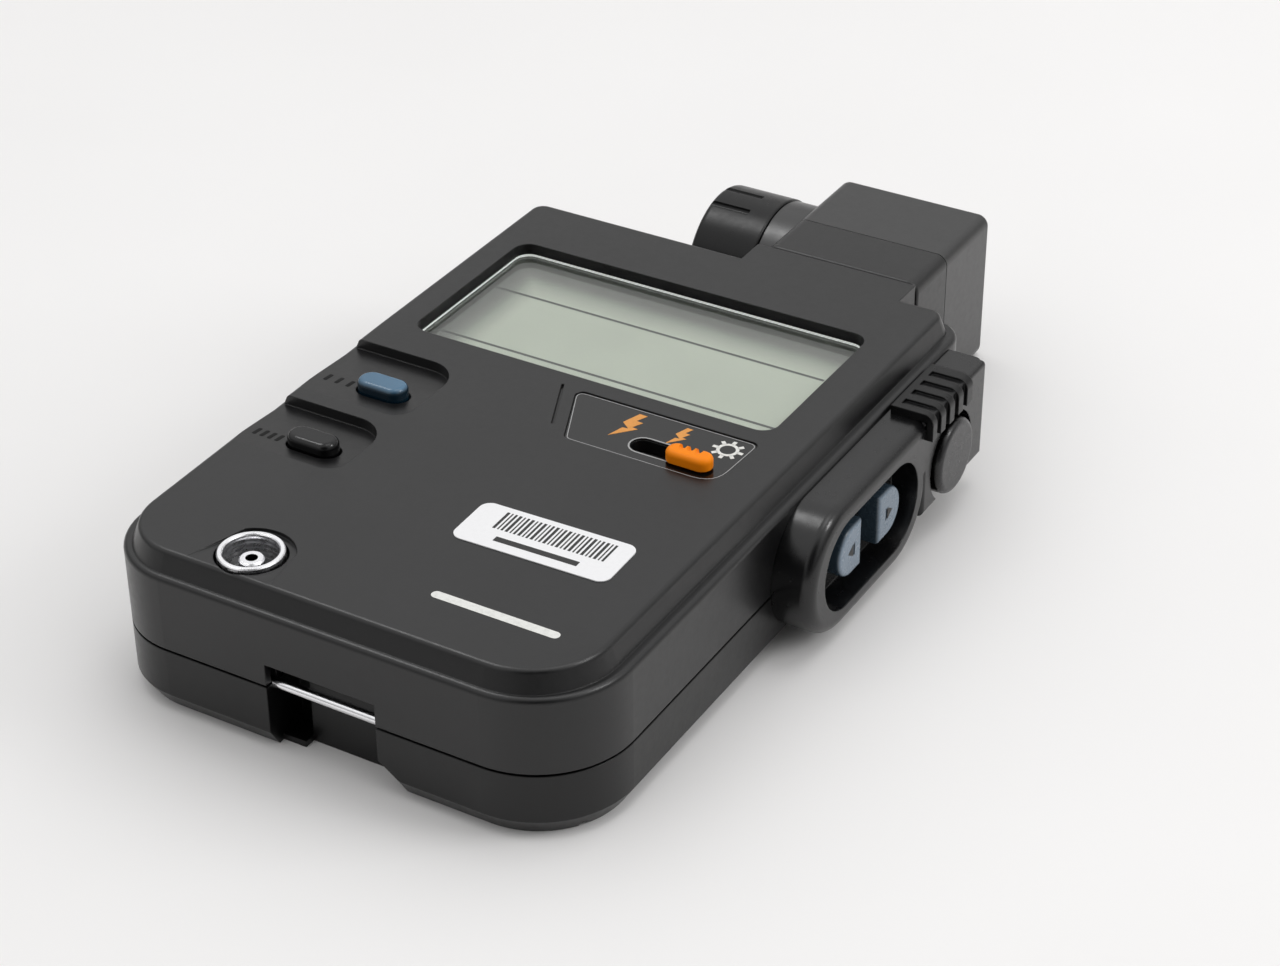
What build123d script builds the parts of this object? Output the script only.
"""Hand-held flash and ambient light meter with a swivelling receptor head.

The meter lies on its back. +X runs across the body towards the measuring
button, +Y from the strap end to the head, and +Z out of the display face.
Lengths along Y are drawn from the strap end, and the finished pieces are moved
so that the origin is the middle of the resting face. Millimetres.
"""
import os
from math import atan2, degrees, cos, sin, radians

from build123d import *

# ---------------------------------------------------------------- driving dimensions
# body shell
body_w = 65.4
body_l = 96.0
face_z = 21.5
parting_z = 9.0
parting_gap = 0.35
ledge_z = 18.9
roof_z = 19.6
floor_z = 1.6
wall = 1.7
side_lean = 0.8
lean_start_y = 56.0
near_left_r = 10.0
near_right_r = 12.0
far_r = 4.0
rear_chamfer_h = 2.4
rear_chamfer_in = 1.5
ledge_edge_r = 0.7
plateau_inset = 1.4
plateau_far_inset = 1.2
plateau_near_inset = 0.8
plateau_taper = 21
plateau_edge_r = 0.7
half_w = body_w / 2

# display
recess_x = (-26.3, 25.1)
recess_y = (57.0, 83.4)
recess_floor_z = 18.55
recess_corner_r = 2.2
window_ledge = 0.9
window_top_z = 20.1
frame_wall = 1.4
frame_low_z = 18.15
panel_t = 0.55

# mode switch
plate_points = [(4.3, 44.2), (24.7, 44.2), (25.1, 54.3), (-0.1, 54.3)]
plate_depth = 0.35
plate_t = 0.2
plate_corner_r = 0.9
plate_big_r = 3.2
mode_x = (11.6, 22.0)
mode_y = 47.5
mode_slot_w = 3.0
knob_l = 6.0
knob_w = 2.7
knob_y = 46.55
knob_scallop_r = 0.42
knob_scallop_pitch = 1.08

# thumb buttons on the left of the face
button_x = -20.6
button_l = 6.8
button_w = 3.5
button_edge_r = 0.8
button_top_z = 22.8
button_travel = 0.6
scoop_end_x = -14.7
scoop_depth = 1.35
iso_scoop_y = (38.0, 51.2)
ev_scoop_y = (24.3, 35.7)
iso_y = 42.6
ev_y = 28.2

# flash sync socket
sync_x = -13.2
sync_y = 6.1
sync_outer_r = 3.9
sync_inner_r = 3.2
sync_gap_r = 4.25
contact_r = 1.5
contact_hole_r = 0.7
contact_hole_l = 2.4
socket_low_z = 15.6
socket_top_z = face_z + 0.4
insulator_top_z = 18.6
contact_top_z = 20.9

# strap slot
slot_x = (-7.8, 7.0)
slot_depth = 3.8
slot_top_z = 11.9
slot_pocket_w = 3.1
slot_pocket_depth = 6.0
pocket_lip_y = 2.3
pocket_floor_z = 0.8
slot_wall = 1.3
bar_r = 0.65
bar_y = 1.7
bar_z = 8.5

# side grip
grip_outer_x = 38.0
grip_low_z = 1.4
grip_top_z = 18.3
grip_edge_r = 1.5
block_edge_r = 0.6
grip_near_y = 43.8
grip_far_y = 74.4
block_near_y = 73.2
block_far_y = 90.6
block_low_z = 4.6
rib_pitch = 2.5
rib_count = 4
rib_groove_w = 1.2
rib_groove_depth = 0.35
key_mid_y = 60.0
key_gap = 4.6
key_l = 5.8
key_h = 6.6
key_z = 9.9
key_face_x = 37.3
key_floor_x = (33.4, 34.6)
key_travel = 0.5
oval_r = 6.1
oval_y = (46.8, 71.6)
measure_y = 81.0
measure_z = 9.5
measure_r = 5.6
measure_face_r = 5.0
measure_step_x = 35.0
measure_travel = 0.8

# battery bay
cell_r = 7.25
cell_l = 50.0
cell_x = 21.8
cell_z = 9.7
cell_near_y = 7.2
door_x = (13.6, 29.9)
door_y = (10.0, 60.0)
door_t = 0.85
door_travel = 4.0
hook_centres_y = (20.0, 36.0, 50.0)
hook_l = 4.0
hook_top_z = 2.75

# main board and small parts behind the face
board_z = (17.2, 18.0)
screw_sites = [(-26.5, 12.0), (10.2, 12.0), (-26.5, 87.0), (26.6, 90.0)]

# swivelling head
head_x = (2.2, 24.4)
head_z = (0.0, 21.5)
neck_x = (1.2, 24.2)
neck_end_y = 98.2
head_near_y = 98.5
head_split_y = 107.3
head_far_y = 121.0
head_edge_r = 1.6
head_wall = 1.6
swivel_r = 5.0
swivel_fit = 0.06
head_mid_x = (head_x[0] + head_x[1]) / 2
head_mid_z = (head_z[0] + head_z[1]) / 2
collar_y = 110.3
collar_r = 10.0
spigot_r = 8.0
ring_r = 10.2
ring_x = (-11.3, -1.75)
ring_fit = 0.08
groove_pair = (85.0, 107.5)
groove_r = 0.5

clear = 0.25


# ---------------------------------------------------------------- shared shapes
def body_outline(inset, far_inset=None, near_inset=None):
    """Plan of the body drawn inwards by inset, with its own inset at either end."""
    far = inset if far_inset is None else far_inset
    near = inset if near_inset is None else near_inset
    with BuildSketch() as outline:
        with BuildLine():
            Polyline(
                (-half_w + side_lean + inset, near),
                (half_w - inset, near),
                (half_w - inset, body_l - far),
                (-half_w + inset, body_l - far),
                (-half_w + inset, lean_start_y),
                close=True,
            )
        make_face()
        fillet(outline.vertices().group_by(Axis.Y)[0].sort_by(Axis.X)[0], near_left_r - inset)
        fillet(outline.vertices().group_by(Axis.Y)[0].sort_by(Axis.X)[-1], near_right_r - inset)
        fillet(outline.vertices().group_by(Axis.Y)[-1], far_r - inset)
    return outline.sketch


def span_rect(x_span, y_span):
    """Rectangle between two limits each way, in the sketch's own axes."""
    with Locations(((x_span[0] + x_span[1]) / 2, (y_span[0] + y_span[1]) / 2)):
        Rectangle(x_span[1] - x_span[0], y_span[1] - y_span[0])


def across(y):
    """Plane across the body at y; its sketch axes are X and Z, and +Y is a negative extrude."""
    return Plane.XZ.offset(-y)


def side(x):
    """Plane along the body at x; its sketch axes are Y and Z."""
    return Plane.YZ.offset(x)


def stadium(y_span, z_mid, r):
    """Long round-ended outline lying along Y in a side plane's sketch."""
    with Locations(((y_span[0] + y_span[1]) / 2, z_mid)):
        SlotOverall(y_span[1] - y_span[0], 2 * r)


def box_between(x_span, y_span, z_span):
    """Block between two limits each way."""
    with BuildPart() as block:
        with BuildSketch(Plane.XY.offset(z_span[0])):
            span_rect(x_span, y_span)
        extrude(amount=z_span[1] - z_span[0])
    return block.part


def rod_along_y(x, z, r, y_span):
    """Round bar along the body."""
    with BuildPart() as rod:
        with BuildSketch(across(y_span[0])):
            with Locations((x, z)):
                Circle(r)
        extrude(amount=-(y_span[1] - y_span[0]))
    return rod.part


def rod_along_x(y, z, r, x_span):
    """Round bar across the body."""
    with BuildPart() as rod:
        with BuildSketch(side(x_span[0])):
            with Locations((y, z)):
                Circle(r)
        extrude(amount=x_span[1] - x_span[0])
    return rod.part


def d_outline(direction, grow=0.0):
    """Key plan in a side plane: flat towards the middle, round at the outer end."""
    flat_y = key_mid_y + direction * (key_gap / 2 - grow)
    tip_y = key_mid_y + direction * (key_gap / 2 + key_l + grow)
    half_h = key_h / 2 + grow
    shoulder_y = tip_y - direction * half_h
    with BuildSketch() as outline:
        with BuildLine():
            Line((flat_y, key_z - half_h), (flat_y, key_z + half_h))
            Line((flat_y, key_z + half_h), (shoulder_y, key_z + half_h))
            ThreePointArc(
                (shoulder_y, key_z + half_h), (tip_y, key_z), (shoulder_y, key_z - half_h)
            )
            Line((shoulder_y, key_z - half_h), (flat_y, key_z - half_h))
        make_face()
    return outline.sketch


# ---------------------------------------------------------------- front cover
scoop_lift = 4.0


def scoop_space(y_span):
    """Thumb scoop: a floor that slopes down from the face to a steep far wall."""
    slope = atan2(scoop_depth, y_span[1] - y_span[0])
    floor = Plane(
        origin=(0, y_span[0], face_z), x_dir=(1, 0, 0), z_dir=(0, sin(slope), cos(slope))
    )
    length = (y_span[1] - y_span[0]) / cos(slope)
    with BuildPart() as space:
        with BuildSketch(floor) as plan:
            span_rect((-half_w - 4, scoop_end_x), (0, length))
            fillet(plan.vertices().group_by(Axis.X)[-1].sort_by(Axis.Y)[-1], 4.5)
            fillet(plan.vertices().group_by(Axis.X)[-1].sort_by(Axis.Y)[0], 3.0)
        extrude(amount=scoop_lift)
    return space.part


def plate_outline():
    """Plan of the mode plate with its corners rounded."""
    with BuildSketch() as outline:
        with BuildLine():
            Polyline(*plate_points, close=True)
        make_face()
        fillet(outline.vertices().group_by(Axis.Y)[-1], plate_corner_r)
        fillet(outline.vertices().group_by(Axis.Y)[0].sort_by(Axis.X)[0], plate_corner_r)
        fillet(outline.vertices().group_by(Axis.Y)[0].sort_by(Axis.X)[-1], plate_big_r)
    return outline.sketch


def sync_pad_space():
    """Shallow pad round the socket, deepest at its far edge and level at its near edge."""
    near_y = sync_y - 4.2
    far_y = sync_y + 5.0
    slope = atan2(0.5, far_y - near_y)
    floor = Plane(
        origin=(sync_x, near_y, face_z), x_dir=(1, 0, 0), z_dir=(0, sin(slope), cos(slope))
    )
    left_tip = (-6.1, -0.4)
    left_top = (-3.6, far_y - near_y - 1.4)
    right_top = (4.5, far_y - near_y - 2.6)
    with BuildPart() as space:
        with BuildSketch(floor):
            with BuildLine():
                Line(left_tip, left_top)
                ThreePointArc(left_top, (0.3, far_y - near_y), right_top)
                Line(right_top, (5.6, -0.4))
                Line((5.6, -0.4), left_tip)
            make_face()
        extrude(amount=2)
    return space.part


# spaces shared by the two halves of the body
pocket_end_x = slot_x[0] + slot_pocket_w
slot_front = box_between(slot_x, (-1, pocket_lip_y), (-1, slot_top_z))
slot_space = box_between((pocket_end_x, slot_x[1]), (-1, slot_depth), (-1, slot_top_z))
slot_pocket = box_between(
    (slot_x[0], pocket_end_x), (-1, slot_pocket_depth), (pocket_floor_z, slot_top_z)
)

with BuildPart() as slot_corner:
    with BuildSketch(across(-1)):
        with BuildLine():
            Polyline(
                (slot_x[1] - 0.5, -1),
                (slot_x[1] - 0.5, 4.3),
                (slot_x[1], 4.3),
                (slot_x[1] + 2.7, rear_chamfer_h),
                (slot_x[1] + 2.7, -1),
                close=True,
            )
        make_face()
    extrude(amount=-(1 + slot_depth))
slot_housing_x = (slot_x[0] - slot_wall, slot_x[1] + slot_wall)
slot_housing_y = (2, slot_pocket_depth + wall)
neck_y = (body_l - 5, neck_end_y)
neck_bore = rod_along_y(head_mid_x, head_mid_z, swivel_r + swivel_fit, (body_l - 4, body_l + 4))
key_window = box_between(
    (half_w - 4, half_w + 2), (key_mid_y - 9.6, key_mid_y + 9.6), (key_z - 4.4, key_z + 4.4)
)
measure_window = rod_along_x(measure_y, measure_z, 2.4, (half_w - 4, half_w + 2))
body_spaces = [
    slot_front, slot_space, slot_pocket, slot_corner.part, neck_bore, key_window, measure_window,
]


with BuildPart() as front_cover:
    with BuildSketch(Plane.XY.offset(parting_z)):
        add(body_outline(0))
    extrude(amount=ledge_z - parting_z)
    fillet(front_cover.faces().sort_by(Axis.Z)[-1].edges(), ledge_edge_r)
    with BuildSketch(Plane.XY.offset(ledge_z)):
        add(body_outline(plateau_inset, plateau_far_inset, plateau_near_inset))
    extrude(amount=face_z - ledge_z, taper=plateau_taper)
    fillet(front_cover.faces().sort_by(Axis.Z)[-1].edges(), plateau_edge_r)
    add(box_between(neck_x, neck_y, (parting_z, face_z)))
    # inside of the shell, with a rebate for the rear cover's lip
    with BuildSketch(Plane.XY.offset(parting_z)):
        add(body_outline(wall + 0.7))
    extrude(amount=roof_z - parting_z, mode=Mode.SUBTRACT)
    with BuildSketch(Plane.XY.offset(parting_z)):
        add(body_outline(1.0))
    extrude(amount=1.6, mode=Mode.SUBTRACT)
    add(box_between(slot_housing_x, slot_housing_y, (parting_z, roof_z)))
    with BuildSketch(Plane.XY.offset(parting_z)):
        with Locations(*screw_sites):
            Circle(2.6)
    extrude(amount=roof_z - parting_z)
    with BuildSketch(Plane.XY.offset(parting_z)):
        with Locations(*screw_sites):
            Circle(1.25)
    extrude(amount=7, mode=Mode.SUBTRACT)
    add(body_spaces, mode=Mode.SUBTRACT)
    # display frame, its recess and the opening below the ledge
    with BuildSketch(Plane.XY.offset(frame_low_z)):
        span_rect(
            (recess_x[0] - frame_wall, recess_x[1] + frame_wall),
            (recess_y[0] - frame_wall, recess_y[1] + frame_wall),
        )
    extrude(amount=roof_z - frame_low_z)
    with BuildSketch(Plane.XY.offset(recess_floor_z)) as recess_plan:
        span_rect(recess_x, recess_y)
        fillet(recess_plan.vertices(), recess_corner_r)
    extrude(amount=4, mode=Mode.SUBTRACT)
    with BuildSketch(Plane.XY.offset(frame_low_z)):
        span_rect(
            (recess_x[0] + window_ledge, recess_x[1] - window_ledge),
            (recess_y[0] + window_ledge, recess_y[1] - window_ledge),
        )
    extrude(amount=4, mode=Mode.SUBTRACT)
    # thumb scoops and button holes
    add(scoop_space(iso_scoop_y), mode=Mode.SUBTRACT)
    add(scoop_space(ev_scoop_y), mode=Mode.SUBTRACT)
    add(sync_pad_space(), mode=Mode.SUBTRACT)
    with BuildSketch(Plane.XY.offset(roof_z - 1)):
        with Locations((button_x, iso_y), (button_x, ev_y)):
            SlotOverall(button_l + 2 * clear, button_w + 2 * clear)
        with Locations((sync_x, sync_y)):
            Circle(sync_gap_r)
        with Locations(((mode_x[0] + mode_x[1]) / 2, mode_y)):
            SlotOverall(mode_x[1] - mode_x[0], mode_slot_w)
    extrude(amount=4, mode=Mode.SUBTRACT)
    with BuildSketch(Plane.XY.offset(socket_low_z - 0.2)):
        with Locations((sync_x, sync_y)):
            Circle(sync_outer_r + 0.1)
    extrude(amount=4, mode=Mode.SUBTRACT)
    # seat of the mode plate, and the line engraved beside it
    with BuildSketch(Plane.XY.offset(face_z - plate_depth)):
        add(plate_outline())
        offset(amount=0.12)
    extrude(amount=1, mode=Mode.SUBTRACT)
    with BuildSketch(Plane.XY.offset(face_z - 0.35)):
        with BuildLine() as plate_line:
            Line((-2.3, 54.6), (1.4, 46.2))
        trace(line_width=0.35)
    extrude(amount=1, mode=Mode.SUBTRACT)
front_cover.part.label = "front_cover"

# ---------------------------------------------------------------- rear cover
with BuildPart() as rear_cover:
    with BuildSketch(Plane.XY):
        add(body_outline(0))
    extrude(amount=parting_z - parting_gap)
    chamfer(
        rear_cover.faces().sort_by(Axis.Z)[0].edges(),
        length=rear_chamfer_h,
        length2=rear_chamfer_in,
    )
    add(box_between(neck_x, neck_y, (0, parting_z - parting_gap)))
    with BuildSketch(Plane.XY.offset(floor_z + 0.4)):
        add(body_outline(wall + 0.7))
    extrude(amount=parting_z, mode=Mode.SUBTRACT)
    # lip that locates inside the front cover
    with BuildSketch(Plane.XY.offset(parting_z - 2)):
        add(body_outline(1.2))
        add(body_outline(wall + 0.7), mode=Mode.SUBTRACT)
    extrude(amount=3.2)
    with BuildSketch(Plane.XY.offset(parting_z - parting_gap)):
        span_rect((neck_x[0] - 1, neck_x[1] + 1), (body_l - 4, neck_end_y))
        span_rect((slot_housing_x[0] - 0.2, slot_housing_x[1] + 0.2), (0, 3))
    extrude(amount=3, mode=Mode.SUBTRACT)
    add(box_between(slot_housing_x, slot_housing_y, (1, parting_z - parting_gap)))
    with BuildSketch(Plane.XY.offset(1)):
        with Locations(*screw_sites):
            Circle(3.3)
    extrude(amount=parting_z - parting_gap - 1)
    # battery bay: the opening, the door's seat and the run the door slides in
    with BuildSketch(Plane.XY):
        span_rect((door_x[0] + 0.9, door_x[1] - 0.9), (door_y[0] + 1.5, door_y[1] - 1.5))
    extrude(amount=parting_z, mode=Mode.SUBTRACT)
    with BuildSketch(Plane.XY):
        span_rect(
            (door_x[0] - 0.1, door_x[1] + 0.1), (door_y[0] - door_travel - 0.2, door_y[1] + 0.1)
        )
    extrude(amount=door_t + 0.1, mode=Mode.SUBTRACT)
    with BuildSketch(Plane.XY):
        for hook_y in hook_centres_y:
            with Locations(((door_x[0] + door_x[1]) / 2, hook_y - door_travel)):
                Rectangle(door_x[1] - door_x[0] - 0.2, hook_l + 0.4)
    extrude(amount=parting_z, mode=Mode.SUBTRACT)
    add(body_spaces, mode=Mode.SUBTRACT)
    with BuildSketch(Plane.XY):
        with Locations(*screw_sites):
            Circle(2.4)
    extrude(amount=2.4, mode=Mode.SUBTRACT)
    with BuildSketch(Plane.XY):
        with Locations(*screw_sites):
            Circle(1.35)
    extrude(amount=parting_z, mode=Mode.SUBTRACT)
rear_cover.part.label = "rear_cover"

# ---------------------------------------------------------------- case screws
with BuildPart() as case_screws:
    with BuildSketch(Plane.XY.offset(0.9)):
        with Locations(*screw_sites):
            Circle(2.1)
    extrude(amount=1.5)
    with BuildSketch(Plane.XY.offset(2.4)):
        with Locations(*screw_sites):
            Circle(1.15)
    extrude(amount=12.5)
    with BuildSketch(Plane.XY.offset(0.9)):
        with Locations(*screw_sites):
            Rectangle(2.4, 0.5)
            Rectangle(0.5, 2.4)
    extrude(amount=0.8, mode=Mode.SUBTRACT)
case_screws.part.label = "case_screws"

# ---------------------------------------------------------------- strap bar
with BuildPart() as strap_bar:
    with BuildSketch(side(slot_x[0])):
        with Locations((bar_y, bar_z)):
            Circle(bar_r)
    extrude(amount=slot_x[1] - slot_x[0])
strap_bar.part.label = "strap_bar"

# ---------------------------------------------------------------- display
window_gap = 0.1
panel_gap = 0.3
window_x = (recess_x[0] + window_gap, recess_x[1] - window_gap)
window_y = (recess_y[0] + window_gap, recess_y[1] - window_gap)
panel_x = (recess_x[0] + panel_gap, recess_x[1] - panel_gap)
panel_y = (recess_y[0] + panel_gap, recess_y[1] - panel_gap)
panel_z = (recess_floor_z, recess_floor_z + panel_t)

with BuildPart() as lcd_window:
    with BuildSketch(Plane.XY.offset(panel_z[1])) as window_plan:
        span_rect(window_x, window_y)
        fillet(window_plan.vertices(), recess_corner_r - window_gap)
    extrude(amount=window_top_z - panel_z[1])
    chamfer(lcd_window.faces().sort_by(Axis.Z)[-1].edges(), 0.1)
lcd_window.part.label = "lcd_window"

with BuildPart() as lcd_panel:
    with BuildSketch(Plane.XY.offset(panel_z[0])) as panel_plan:
        span_rect(panel_x, panel_y)
        fillet(panel_plan.vertices(), recess_corner_r - panel_gap)
    extrude(amount=panel_z[1] - panel_z[0])
lcd_panel.part.label = "lcd_panel"

with BuildPart() as lcd_reflector:
    with BuildSketch(Plane.XY.offset(panel_z[0] - 0.2)):
        span_rect((panel_x[0] + 1.2, panel_x[1] - 1.2), (panel_y[0] + 3, panel_y[1] - 3))
    extrude(amount=0.2)
lcd_reflector.part.label = "lcd_reflector"

with BuildPart() as contact_strips:
    with BuildSketch(Plane.XY.offset(board_z[1])):
        for strip_y in (panel_y[0] + 1.7, panel_y[1] - 1.7):
            with Locations(((panel_x[0] + panel_x[1]) / 2, strip_y)):
                Rectangle(46, 1.6)
    extrude(amount=panel_z[0] - board_z[1])
contact_strips.part.label = "contact_strips"

# ---------------------------------------------------------------- main board
with BuildPart() as main_board:
    with BuildSketch(Plane.XY.offset(board_z[0])):
        add(body_outline(3.4, 5.2))
        with Locations(*screw_sites):
            Circle(2.9, mode=Mode.SUBTRACT)
        with Locations((sync_x, sync_y)):
            Circle(sync_outer_r + 0.1, mode=Mode.SUBTRACT)
        with Locations(((slot_x[0] + slot_x[1]) / 2 - 3.6, 5)):
            Rectangle(28, 11.4, mode=Mode.SUBTRACT)
    extrude(amount=board_z[1] - board_z[0])
main_board.part.label = "main_board"

with BuildPart() as controller_chip:
    with BuildSketch(Plane.XY.offset(board_z[0] - 2)):
        with Locations((-11, 66)):
            Rectangle(14, 14)
    extrude(amount=2)
    chamfer(controller_chip.faces().sort_by(Axis.Z)[0].edges(), 0.4)
controller_chip.part.label = "controller_chip"

with BuildPart() as button_domes:
    with BuildSketch(Plane.XY.offset(board_z[1])):
        with Locations((button_x, iso_y), (button_x, ev_y)):
            Circle(2.4)
    extrude(amount=0.3, taper=45)
button_domes.part.label = "button_domes"

# ---------------------------------------------------------------- mode switch
mode_mid_x = (mode_x[0] + mode_x[1]) / 2

with BuildPart() as mode_plate:
    with BuildSketch(Plane.XY.offset(face_z - plate_depth)):
        add(plate_outline())
        with Locations((mode_mid_x, mode_y)):
            SlotOverall(mode_x[1] - mode_x[0], mode_slot_w, mode=Mode.SUBTRACT)
    extrude(amount=plate_t)
mode_plate.part.label = "mode_plate"

with BuildPart() as mode_switch:
    with BuildSketch(Plane.XY.offset(board_z[1])):
        with Locations((mode_mid_x, mode_y)):
            Rectangle(mode_x[1] - mode_x[0] + 3, 5.4)
    extrude(amount=1.4)
    with BuildSketch(Plane.XY.offset(board_z[1] + 0.4)):
        with Locations((mode_mid_x, mode_y)):
            Rectangle(mode_x[1] - mode_x[0] + 0.4, 2.2)
    extrude(amount=1.4, mode=Mode.SUBTRACT)
mode_switch.part.label = "mode_switch"

knob_x = mode_x[1] - 2.0
knob_base_z = face_z + 0.15
knob_top_z = 23.2

with BuildPart() as mode_knob:
    with BuildSketch(Plane.XY.offset(knob_base_z)):
        with Locations((knob_x, knob_y)):
            RectangleRounded(knob_l, knob_w, knob_w / 2 - 0.05)
    extrude(amount=knob_top_z - knob_base_z)
    fillet(mode_knob.faces().sort_by(Axis.Z)[-1].edges(), 0.65)
    # thumb grooves that slope down over the far edge
    for index in (-1, 0, 1):
        groove_start = (knob_x - 0.13 + index * knob_scallop_pitch, knob_y + 0.55, knob_top_z + 0.1)
        with BuildSketch(Plane(origin=groove_start, x_dir=(1, 0, 0), z_dir=(0, 0.8, -0.6))):
            Circle(knob_scallop_r)
        extrude(amount=3, both=True, mode=Mode.SUBTRACT)
    # stem down through the slot into the switch
    with BuildSketch(Plane.XY.offset(board_z[1] + 0.6)):
        with Locations((mode_x[1] - 2.55, mode_y - 0.15)):
            Rectangle(4.3, 1.7)
    extrude(amount=knob_base_z - board_z[1] - 0.6)
mode_knob.part.label = "mode_knob"

# ---------------------------------------------------------------- thumb buttons
flange_z = 18.95


def thumb_button(y):
    """Stadium cap on a flange that keeps it behind the cover."""
    with BuildPart() as cap:
        with BuildSketch(Plane.XY.offset(flange_z)):
            with Locations((button_x, y)):
                SlotOverall(button_l, button_w)
        extrude(amount=button_top_z - flange_z)
        fillet(cap.faces().sort_by(Axis.Z)[-1].edges(), button_edge_r)
        with BuildSketch(Plane.XY.offset(flange_z)):
            with Locations((button_x, y)):
                SlotOverall(button_l + 1.6, button_w + 1.6)
        extrude(amount=0.45)
    return cap


iso_button = thumb_button(iso_y)
iso_button.part.label = "iso_button"
ev_button = thumb_button(ev_y)
ev_button.part.label = "ev_button"

# ---------------------------------------------------------------- flash sync socket
with BuildPart() as sync_shell:
    with BuildSketch(Plane.XY.offset(socket_low_z)):
        with Locations((sync_x, sync_y)):
            Circle(sync_outer_r)
            Circle(sync_inner_r, mode=Mode.SUBTRACT)
    extrude(amount=socket_top_z - socket_low_z)
    chamfer(sync_shell.faces().sort_by(Axis.Z)[-1].edges(), 0.15)
sync_shell.part.label = "sync_shell"

with BuildPart() as sync_insulator:
    with BuildSketch(Plane.XY.offset(socket_low_z)):
        with Locations((sync_x, sync_y)):
            Circle(sync_inner_r)
            Circle(contact_r, mode=Mode.SUBTRACT)
    extrude(amount=insulator_top_z - socket_low_z)
sync_insulator.part.label = "sync_insulator"

with BuildPart() as sync_contact:
    with BuildSketch(Plane.XY.offset(socket_low_z)):
        with Locations((sync_x, sync_y)):
            Circle(contact_r)
    extrude(amount=contact_top_z - socket_low_z)
    chamfer(sync_contact.faces().sort_by(Axis.Z)[-1].edges(), 0.2)
    with BuildSketch(Plane.XY.offset(contact_top_z - contact_hole_l)):
        with Locations((sync_x, sync_y)):
            Circle(contact_hole_r)
    extrude(amount=contact_hole_l + 1, mode=Mode.SUBTRACT)
sync_contact.part.label = "sync_contact"

# ---------------------------------------------------------------- owner's label
with BuildPart() as asset_label:
    with BuildSketch(Plane.XY.offset(face_z)):
        with Locations(Location((14.0, 24.2), 1.5)):
            RectangleRounded(20.2, 8.0, 1.4)
    extrude(amount=0.12)
asset_label.part.label = "asset_label"

# ---------------------------------------------------------------- side grip
grip_mid_z = (grip_low_z + grip_top_z) / 2
grip_r = (grip_top_z - grip_low_z) / 2
oval_mid_z = key_z
cap_top_z = grip_top_z + 1.1
cap_outer_x = grip_outer_x + 0.9
cap_far_y = block_near_y + 11.4
cap_low_z = measure_z + measure_r + 0.7

def grip_block():
    """Block at the far end of the grip that guides the measuring button."""
    with BuildPart() as block:
        with BuildSketch(side(half_w)) as plan:
            span_rect((block_near_y, block_far_y), (block_low_z, grip_top_z))
            fillet(plan.vertices().group_by(Axis.Y)[-1], block_edge_r)
        extrude(amount=grip_outer_x - half_w)
        fillet(block.faces().sort_by(Axis.X)[-1].edges(), block_edge_r)
    return block.part


with BuildPart() as grip_housing:
    with BuildSketch(side(half_w)):
        stadium((grip_near_y - 0.5, grip_far_y), grip_mid_z, grip_r)
        span_rect((grip_far_y - grip_r, block_far_y), (grip_mid_z, grip_top_z))
    extrude(amount=grip_outer_x - half_w)
    fillet(grip_housing.faces().sort_by(Axis.X)[-1].edges(), grip_edge_r)
    add(grip_block())
    # key recess, its floor and the two key holes
    with BuildSketch(side(key_floor_x[1])):
        stadium((oval_y[0] + 0.5, oval_y[1] - 0.5), oval_mid_z, oval_r - 0.5)
    extrude(amount=grip_outer_x - key_floor_x[1], taper=-8, mode=Mode.SUBTRACT)
    with BuildSketch(side(half_w)):
        span_rect((key_mid_y - 9.6, key_mid_y + 9.6), (key_z - 4.4, key_z + 4.4))
    extrude(amount=key_floor_x[0] - half_w, mode=Mode.SUBTRACT)
    with BuildSketch(side(half_w)):
        add(d_outline(-1, clear))
        add(d_outline(1, clear))
    extrude(amount=4, mode=Mode.SUBTRACT)
    # guide of the measuring button: a wide seat behind a lip
    with BuildSketch(side(half_w)):
        with Locations((measure_y, measure_z)):
            Circle(measure_r + clear)
    extrude(amount=8, mode=Mode.SUBTRACT)
    with BuildSketch(side(half_w)):
        with Locations((measure_y, measure_z)):
            Circle(measure_r + 0.9)
    extrude(amount=2.5, mode=Mode.SUBTRACT)
grip_housing.part.label = "grip_housing"

with BuildPart() as grip_cap:
    with BuildSketch(across(block_near_y)) as cap_profile:
        span_rect((half_w + 0.4, cap_outer_x), (cap_low_z, cap_top_z))
        fillet(cap_profile.vertices().group_by(Axis.X)[-1].sort_by(Axis.Y)[-1], 1.4)
        span_rect(
            (half_w, grip_outer_x), (cap_low_z - 1, grip_top_z)
        )
    extrude(amount=-(cap_far_y - block_near_y))
    with BuildSketch(side(half_w)):
        span_rect((block_near_y - 1, block_far_y), (cap_low_z - 2, grip_top_z))
    extrude(amount=grip_outer_x - half_w, mode=Mode.SUBTRACT)
    # ribs: narrow grooves that run over the top and down the outer side
    for index in range(rib_count):
        groove_y = block_near_y + 1.7 + index * rib_pitch
        with BuildSketch(side(half_w + 1.3)):
            with Locations((groove_y, cap_top_z)):
                Rectangle(rib_groove_w, 2 * rib_groove_depth)
        extrude(amount=cap_outer_x - half_w, mode=Mode.SUBTRACT)
        with BuildSketch(side(cap_outer_x - 0.5)):
            span_rect((groove_y - rib_groove_w / 2, groove_y + rib_groove_w / 2), (0, cap_top_z))
        extrude(amount=1, mode=Mode.SUBTRACT)
grip_cap.part.label = "grip_cap"

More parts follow.
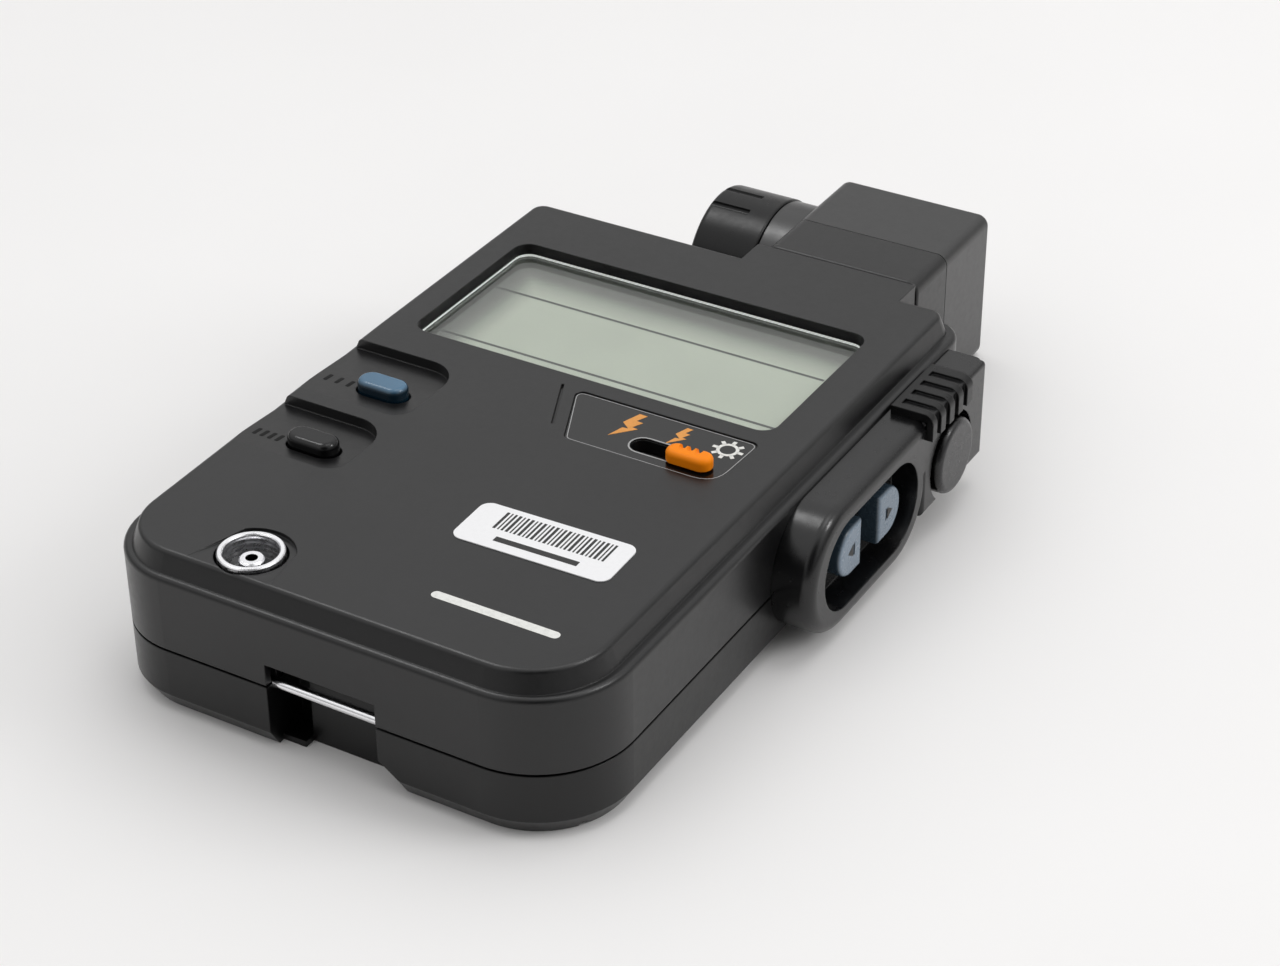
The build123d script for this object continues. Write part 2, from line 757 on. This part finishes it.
with BuildPart() as measure_button:
    with BuildSketch(side(34.2)):
        with Locations((measure_y, measure_z)):
            Circle(measure_r + 0.6)
    extrude(amount=0.6)
    with BuildSketch(side(34.2)):
        with Locations((measure_y, measure_z)):
            Circle(measure_r)
    extrude(amount=measure_step_x - 34.2)
    with BuildSketch(side(measure_step_x)):
        with Locations((measure_y, measure_z)):
            Circle(measure_face_r)
    extrude(amount=grip_outer_x + 0.9 - measure_step_x)
    fillet(measure_button.faces().sort_by(Axis.X)[-1].edges(), 0.8)
    with BuildSketch(side(30.9)):
        with Locations((measure_y, measure_z)):
            Circle(2.0)
    extrude(amount=3.3)
measure_button.part.label = "measure_button"

with BuildPart() as measure_switch:
    with BuildSketch(side(26.5)):
        with Locations((measure_y, measure_z)):
            Rectangle(8.0, 7.0)
    extrude(amount=3.0)
    chamfer(measure_switch.faces().sort_by(Axis.X)[-1].edges(), 0.4)
measure_switch.part.label = "measure_switch"


def side_key(direction):
    """D-shaped key with a retaining flange and a short plunger."""
    with BuildPart() as key:
        with BuildSketch(side(key_floor_x[0] - 0.9)):
            add(d_outline(direction))
        extrude(amount=key_face_x - key_floor_x[0] + 0.9)
        fillet(key.faces().sort_by(Axis.X)[-1].edges(), 0.5)
        with BuildSketch(side(key_floor_x[0] - 0.9)):
            add(d_outline(direction, 0.7))
        extrude(amount=0.7)
        with BuildSketch(side(31.6)):
            with Locations((key_mid_y + direction * (key_gap + key_l) / 2, key_z)):
                Circle(1.2)
        extrude(amount=key_floor_x[0] - 0.9 - 31.6)
        # direction arrow sunk into the face
        with BuildSketch(side(key_face_x - 0.15)):
            arrow_y = key_mid_y + direction * (key_gap / 2 + 2.5)
            with BuildLine():
                Polyline(
                    (arrow_y - direction * 0.7, key_z - 0.9),
                    (arrow_y - direction * 0.7, key_z + 0.9),
                    (arrow_y + direction * 0.9, key_z),
                    close=True,
                )
            make_face()
        extrude(amount=1, mode=Mode.SUBTRACT)
    return key


decrease_key = side_key(-1)
decrease_key.part.label = "decrease_key"
increase_key = side_key(1)
increase_key.part.label = "increase_key"

with BuildPart() as key_board:
    with BuildSketch(side(29.9)):
        span_rect((key_mid_y - 9.3, key_mid_y + 9.3), (key_z - 4.2, key_z + 4.2))
    extrude(amount=0.8)
key_board.part.label = "key_board"

with BuildPart() as key_domes:
    with BuildSketch(side(30.7)):
        for direction in (-1, 1):
            with Locations((key_mid_y + direction * (key_gap + key_l) / 2, key_z)):
                Circle(2.0)
    extrude(amount=0.3, taper=45)
key_domes.part.label = "key_domes"

# ---------------------------------------------------------------- battery
with BuildPart() as aa_battery:
    with BuildSketch(across(cell_near_y)):
        with Locations((cell_x, cell_z)):
            Circle(cell_r)
    extrude(amount=-(cell_l - 1.2))
    fillet(aa_battery.edges().filter_by(GeomType.CIRCLE), 0.4)
    with BuildSketch(across(cell_near_y + cell_l - 1.2)):
        with Locations((cell_x, cell_z)):
            Circle(2.7)
    extrude(amount=-1.2)
aa_battery.part.label = "aa_battery"

with BuildPart() as battery_plus_contact:
    with BuildSketch(across(cell_near_y + cell_l)):
        with Locations((cell_x, cell_z)):
            Rectangle(8.0, 9.0)
    extrude(amount=-0.4)
    with BuildSketch(across(cell_near_y + cell_l + 0.4)):
        with Locations((cell_x, board_z[0] - 1.0)):
            Rectangle(4.0, 2.0)
    extrude(amount=0.4)
    with BuildSketch(across(cell_near_y + cell_l + 0.4)):
        with Locations((cell_x, (cell_z + board_z[0]) / 2)):
            Rectangle(4.0, board_z[0] - cell_z)
    extrude(amount=0.4)
battery_plus_contact.part.label = "battery_plus_contact"

spring_wire_r = 0.3
spring_r = 3.0
spring_plate_y = 3.7
spring_plate_t = 0.6
spring_l = cell_near_y - spring_plate_y - spring_plate_t - 2 * spring_wire_r


def coil_spring(r, length, turns):
    """Round wire coil that rises along +Z from its first turn."""
    with BuildPart() as coil:
        with BuildLine() as path:
            Helix(pitch=length / turns, height=length, radius=r)
        with BuildSketch(Plane(origin=path.line @ 0, z_dir=path.line % 0)):
            Circle(spring_wire_r)
        sweep()
    return coil.part


coil_start_y = spring_plate_y + spring_plate_t + spring_wire_r - 0.1
coil_place = Location((cell_x, coil_start_y, cell_z), (-90, 0, 0))
battery_coil = coil_spring(spring_r, spring_l, 2.5).moved(coil_place)

with BuildPart() as battery_spring:
    with BuildSketch(across(spring_plate_y)):
        with Locations((cell_x, cell_z)):
            Rectangle(6.8, 6.8)
    extrude(amount=-spring_plate_t)
    add(battery_coil)
battery_spring.part.label = "battery_spring"

with BuildPart() as battery_door:
    with BuildSketch(Plane.XY):
        span_rect(door_x, door_y)
    extrude(amount=door_t)
    # raised panel that fills the opening
    with BuildSketch(Plane.XY.offset(door_t)):
        span_rect((door_x[0] + 1.1, door_x[1] - 1.1), (door_y[0] + 7, door_y[1] - 3))
    extrude(amount=0.5)
    # hooks that hold behind the opening's long edges
    with BuildSketch(Plane.XY.offset(door_t)):
        for hook_y in hook_centres_y:
            with Locations((door_x[0] + 1.6, hook_y), (door_x[1] - 1.6, hook_y)):
                Rectangle(1.0, hook_l)
    extrude(amount=hook_top_z - door_t)
    with BuildSketch(Plane.XY.offset(hook_top_z - 0.6)):
        for hook_y in hook_centres_y:
            with Locations((door_x[0] + 1.15, hook_y), (door_x[1] - 1.15, hook_y)):
                Rectangle(1.9, hook_l)
    extrude(amount=0.6)
    # thumb grip grooves
    for index in range(5):
        with BuildSketch(Plane.XY):
            with Locations(((door_x[0] + door_x[1]) / 2, door_y[0] + 3 + 1.6 * index)):
                Rectangle(8.0, 0.7)
        extrude(amount=0.3, mode=Mode.SUBTRACT)
battery_door.part.label = "battery_door"

# ---------------------------------------------------------------- swivelling head
def head_block(y_span):
    """Length of the head's rounded square section."""
    with BuildPart() as block:
        with BuildSketch(across(y_span[0])):
            with Locations((head_mid_x, head_mid_z)):
                RectangleRounded(head_x[1] - head_x[0], head_z[1] - head_z[0], head_edge_r)
        extrude(amount=-(y_span[1] - y_span[0]))
    return block.part


collar_seat = rod_along_x(collar_y, head_mid_z, collar_r, (head_x[0] - 3, head_x[0] + 4))
head_hollow = box_between(
    (head_x[0] + head_wall, head_x[1] - head_wall),
    (head_near_y + head_wall, head_far_y - head_wall),
    (head_z[0] + head_wall, head_z[1] - head_wall),
)

with BuildPart() as head_base:
    add(head_block((head_near_y, head_split_y)))
    fillet(head_base.faces().sort_by(Axis.Y)[0].edges(), 0.5)
    add([head_hollow, collar_seat], mode=Mode.SUBTRACT)
    with BuildSketch(across(head_near_y)):
        with Locations((head_mid_x, head_mid_z)):
            Circle(swivel_r)
    extrude(amount=-head_wall, mode=Mode.SUBTRACT)
head_base.part.label = "head_base"

with BuildPart() as head_cover:
    add(head_block((head_split_y + 0.15, head_far_y)))
    fillet(head_cover.faces().sort_by(Axis.Y)[-1].edges(), 0.9)
    add([head_hollow, collar_seat], mode=Mode.SUBTRACT)
head_cover.part.label = "head_cover"

with BuildPart() as swivel_tube:
    with BuildSketch(across(92.4)):
        with Locations((head_mid_x, head_mid_z)):
            Circle(swivel_r)
            Circle(swivel_r - 1.4, mode=Mode.SUBTRACT)
    extrude(amount=-(head_near_y + head_wall - 92.4))
    with BuildSketch(across(92.4)):
        with Locations((head_mid_x, head_mid_z)):
            Circle(swivel_r + 1.5)
            Circle(swivel_r - 1.4, mode=Mode.SUBTRACT)
    extrude(amount=-0.8)
swivel_tube.part.label = "swivel_tube"

with BuildPart() as friction_washer:
    with BuildSketch(across(93.25)):
        with Locations((head_mid_x, head_mid_z)):
            Circle(swivel_r + 1.4)
            Circle(swivel_r + 0.15, mode=Mode.SUBTRACT)
    extrude(amount=-0.3)
friction_washer.part.label = "friction_washer"

with BuildPart() as receptor_collar:
    with BuildSketch(side(ring_x[1] + 0.15)):
        with Locations((collar_y, head_mid_z)):
            Circle(collar_r)
    extrude(amount=6.0)
    with BuildSketch(side(-9.0)):
        with Locations((collar_y, head_mid_z)):
            Circle(spigot_r)
    extrude(amount=9.0)
    with BuildSketch(side(-9.0)):
        with Locations((collar_y, head_mid_z)):
            Circle(spigot_r - 1.2)
    extrude(amount=20, mode=Mode.SUBTRACT)
receptor_collar.part.label = "receptor_collar"

disc_x = (-10.5, -9.0)
ring_lip = 0.7

with BuildPart() as receptor_ring:
    with BuildSketch(side(ring_x[0])):
        with Locations((collar_y, head_mid_z)):
            Circle(ring_r)
    extrude(amount=ring_x[1] - ring_x[0])
    fillet(receptor_ring.faces().sort_by(Axis.X)[0].edges(), 0.9)
    fillet(receptor_ring.faces().sort_by(Axis.X)[-1].edges(), 0.3)
    with BuildSketch(side(ring_x[0] + ring_lip)):
        with Locations((collar_y, head_mid_z)):
            Circle(spigot_r + ring_fit)
    extrude(amount=ring_x[1] - ring_x[0], mode=Mode.SUBTRACT)
    with BuildSketch(side(ring_x[0])):
        with Locations((collar_y, head_mid_z)):
            Circle(spigot_r - 0.7)
    extrude(amount=2, mode=Mode.SUBTRACT)
    # three pairs of finger grooves
    groove_angles = [group * 120 + step for group in range(3) for step in groove_pair]
    with BuildSketch(side(ring_x[0] - 1)):
        for angle in groove_angles:
            groove_y = collar_y + ring_r * cos(radians(angle))
            groove_z = head_mid_z + ring_r * sin(radians(angle))
            with Locations((groove_y, groove_z)):
                Circle(groove_r)
    extrude(amount=7.2, mode=Mode.SUBTRACT)
receptor_ring.part.label = "receptor_ring"

with BuildPart() as diffuser_disc:
    with BuildSketch(side(disc_x[0])):
        with Locations((collar_y, head_mid_z)):
            Circle(spigot_r)
    extrude(amount=disc_x[1] - disc_x[0])
diffuser_disc.part.label = "diffuser_disc"

with BuildPart() as colour_filter:
    with BuildSketch(side(-8.4)):
        with Locations((collar_y, head_mid_z)):
            Circle(spigot_r - 1.25)
    extrude(amount=1.2)
colour_filter.part.label = "colour_filter"

with BuildPart() as photocell:
    with BuildSketch(side(-7.0)):
        with Locations((collar_y, head_mid_z)):
            Circle(4.2)
    extrude(amount=2.8)
    chamfer(photocell.faces().sort_by(Axis.X)[0].edges(), 0.4)
photocell.part.label = "photocell"

with BuildPart() as cell_board:
    with BuildSketch(side(-4.2)):
        with Locations((collar_y, head_mid_z)):
            Circle(spigot_r - 1.25)
    extrude(amount=1.0)
cell_board.part.label = "cell_board"

lead_r = 0.9

with BuildPart() as sensor_lead:
    with BuildLine() as lead_path:
        FilletPolyline(
            (-3.2, collar_y, head_mid_z),
            (head_mid_x, collar_y, head_mid_z),
            (head_mid_x, 89.0, head_mid_z),
            radius=5.0,
        )
    with BuildSketch(Plane(origin=lead_path.line @ 0, z_dir=lead_path.line % 0)):
        Circle(lead_r)
    sweep()
sensor_lead.part.label = "sensor_lead"

# ---------------------------------------------------------------- one STEP for each piece
pieces = [
    front_cover, rear_cover, case_screws, strap_bar,
    lcd_window, lcd_panel, lcd_reflector, contact_strips,
    main_board, controller_chip, button_domes,
    mode_plate, mode_switch, mode_knob, iso_button, ev_button,
    sync_shell, sync_insulator, sync_contact, asset_label,
    grip_housing, grip_cap, measure_button, measure_switch,
    decrease_key, increase_key, key_board, key_domes,
    aa_battery, battery_plus_contact, battery_spring, battery_door,
    head_base, head_cover, swivel_tube, friction_washer,
    receptor_collar, receptor_ring, diffuser_disc, colour_filter,
    photocell, cell_board, sensor_lead,
]
os.makedirs("parts", exist_ok=True)
to_origin = Location((0, -body_l / 2, 0))
for piece in pieces:
    shape = piece.part.moved(to_origin)
    shape.label = piece.part.label
    export_step(shape, f"parts/{shape.label}.step")
